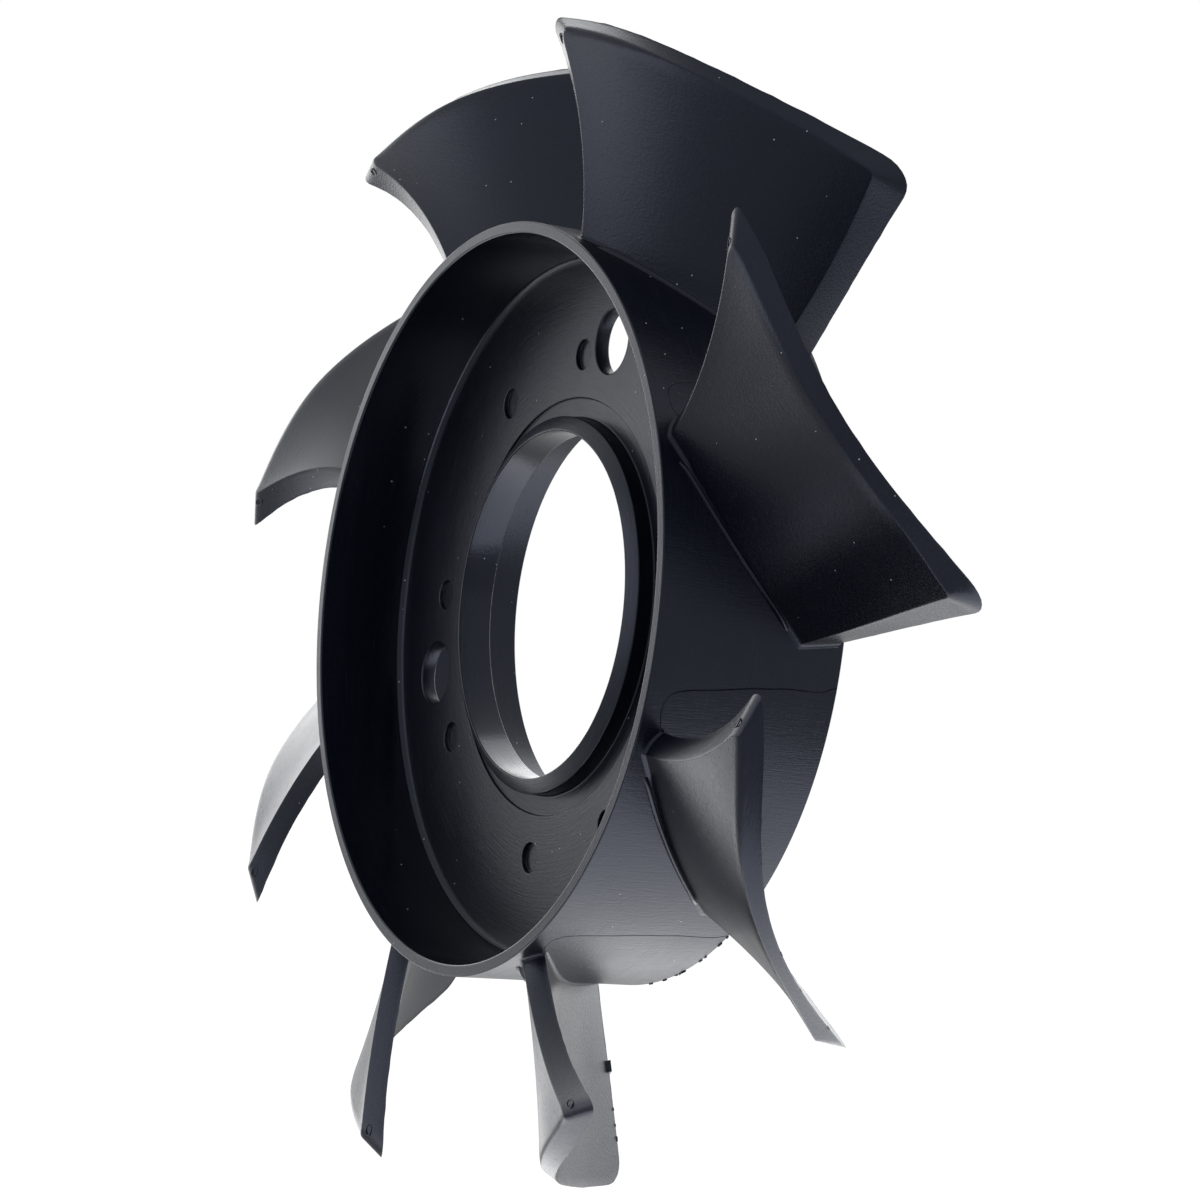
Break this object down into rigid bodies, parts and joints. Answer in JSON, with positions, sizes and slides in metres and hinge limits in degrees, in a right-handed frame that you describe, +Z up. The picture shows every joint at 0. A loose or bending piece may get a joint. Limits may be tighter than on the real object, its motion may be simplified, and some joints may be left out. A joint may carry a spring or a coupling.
{
  "type": "engine cooling fan wheel",
  "caption": "Moulded plastic axial fan wheel: deep drum with a bored web and swept, cambered blades, bolted to a clutch or pulley.",
  "frame": {"origin": "on the fan's axis, in the plane of the web's front face", "axes": "Y is the axis of rotation, with the drum's open front towards -Y; +Z is up in the picture's pose"},
  "size_m": [0.2804, 0.0565, 0.2804],
  "materials": {
    "plastic": "satin black moulded plastic"
  },
  "bodies": {
    "root": {"fan_wheel": "plastic"}
  },
  "joints": []
}
